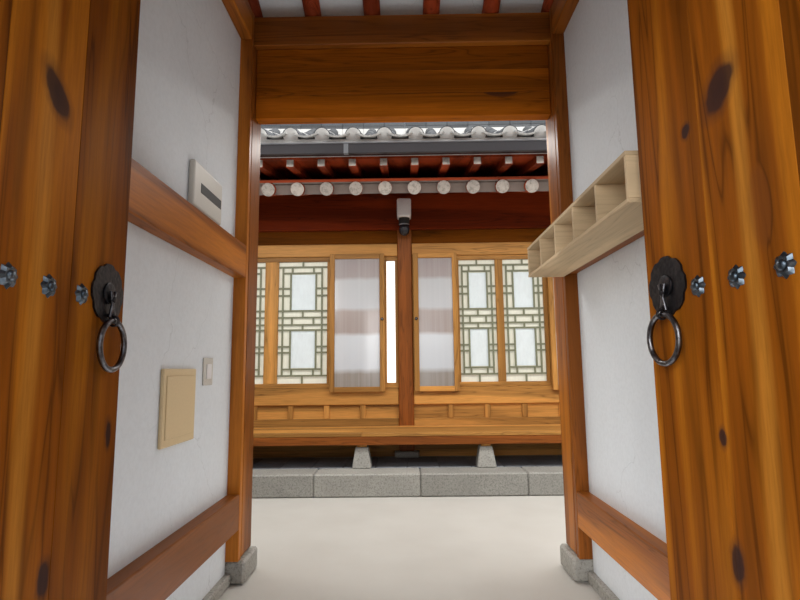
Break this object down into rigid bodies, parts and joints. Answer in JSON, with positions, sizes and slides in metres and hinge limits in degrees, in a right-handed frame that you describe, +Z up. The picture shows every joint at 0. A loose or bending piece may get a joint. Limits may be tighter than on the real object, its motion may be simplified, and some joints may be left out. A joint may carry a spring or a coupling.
{
  "type": "hanok house",
  "caption": "Korean courtyard house with a street gatehouse whose two leaves swing inward on wooden pivots, yard walls, a raised porch and a tiled main house behind the yard.",
  "frame": {"origin": "on the ground under the middle of the whole house, between the outermost roof edges", "axes": "+Z up, +Y from the street through the gate passage towards the main house, +X to the right when seen from the street"},
  "size_m": [9.3106, 10.32, 5.0287],
  "materials": {
    "pine": "satin",
    "dark_pine": "satin",
    "pale_wood": "matte",
    "plaster": "matte",
    "roof_tile": "matte",
    "stone": "matte",
    "floor": "satin",
    "iron": "satin",
    "housing": "satin"
  },
  "bodies": {
    "house": {"gate_front_frame": "pine", "gate_rear_frame": "pine", "gate_door_frame": "pine", "gate_transom_panel": "pine", "passage_lintel_boards": "pine", "gate_ridge_purlin": "dark_pine", "wall_shelf": "pale_wood", "passage_left_rails": "pine", "passage_left_plaster": "plaster", "gate_left_footing": "stone", "passage_right_rails": "pine", "passage_right_plaster": "plaster", "gate_right_footing": "stone", "gate_rafters_front": "dark_pine", "gate_rafters_rear": "dark_pine", "gate_roof_front": "roof_tile", "gate_roof_rear": "roof_tile", "gate_ridge": "roof_tile", "gate_left_bargeboards": "dark_pine", "gate_right_bargeboards": "dark_pine", "main_base": "stone", "main_floor": "floor", "main_front_frame": "pine", "main_rear_frame": "pine", "main_rear_plaster": "plaster", "main_roof_beams": "dark_pine", "porch": "pine", "porch_lamp": "housing", "front_window_1": "pine", "front_window_2": "pine", "front_window_3": "pine", "rear_window_1": "pine", "rear_window_2": "pine", "rear_window_3": "pine", "main_rafters_front": "dark_pine", "flying_rafters_front": "dark_pine", "main_roof_front": "roof_tile", "main_rafters_rear": "dark_pine", "flying_rafters_rear": "dark_pine", "main_roof_rear": "roof_tile", "main_ridge": "roof_tile", "main_left_bargeboards": "dark_pine", "main_right_bargeboards": "dark_pine", "main_left_frame": "pine", "main_left_plaster": "plaster", "left_street_wall": "plaster", "left_yard_wall": "plaster", "main_right_frame": "pine", "main_right_plaster": "plaster", "right_street_wall": "plaster", "right_yard_wall": "plaster"},
    "left_leaf": {"left_leaf": "pine", "left_ring_plate": "iron"},
    "right_leaf": {"right_leaf": "pine", "right_ring_plate": "iron"},
    "left_ring": {"left_ring": "iron"},
    "right_ring": {"right_ring": "iron"}
  },
  "joints": [
    {"name": "left_leaf_hinge", "type": "hinge", "parent": "house", "child": "left_leaf", "pos_m": [-1.9, -4.305, 1.3], "axis": [0, 0, 1], "range_deg": [-92.7, 0]},
    {"name": "right_leaf_hinge", "type": "hinge", "parent": "house", "child": "right_leaf", "pos_m": [-0.25, -4.305, 1.3], "axis": [0, 0, 1], "range_deg": [-8, 84]},
    {"name": "left_ring_swing", "type": "hinge", "parent": "left_leaf", "child": "left_ring", "pos_m": [-1.88477, -3.58148, 1.262], "axis": [0.0471, -0.9989, 0], "range_deg": [0, 80]},
    {"name": "right_ring_swing", "type": "hinge", "parent": "right_leaf", "child": "right_ring", "pos_m": [-0.3745, -3.59211, 1.262], "axis": [-0.1045, 0.9945, 0], "range_deg": [0, 80]}
  ]
}
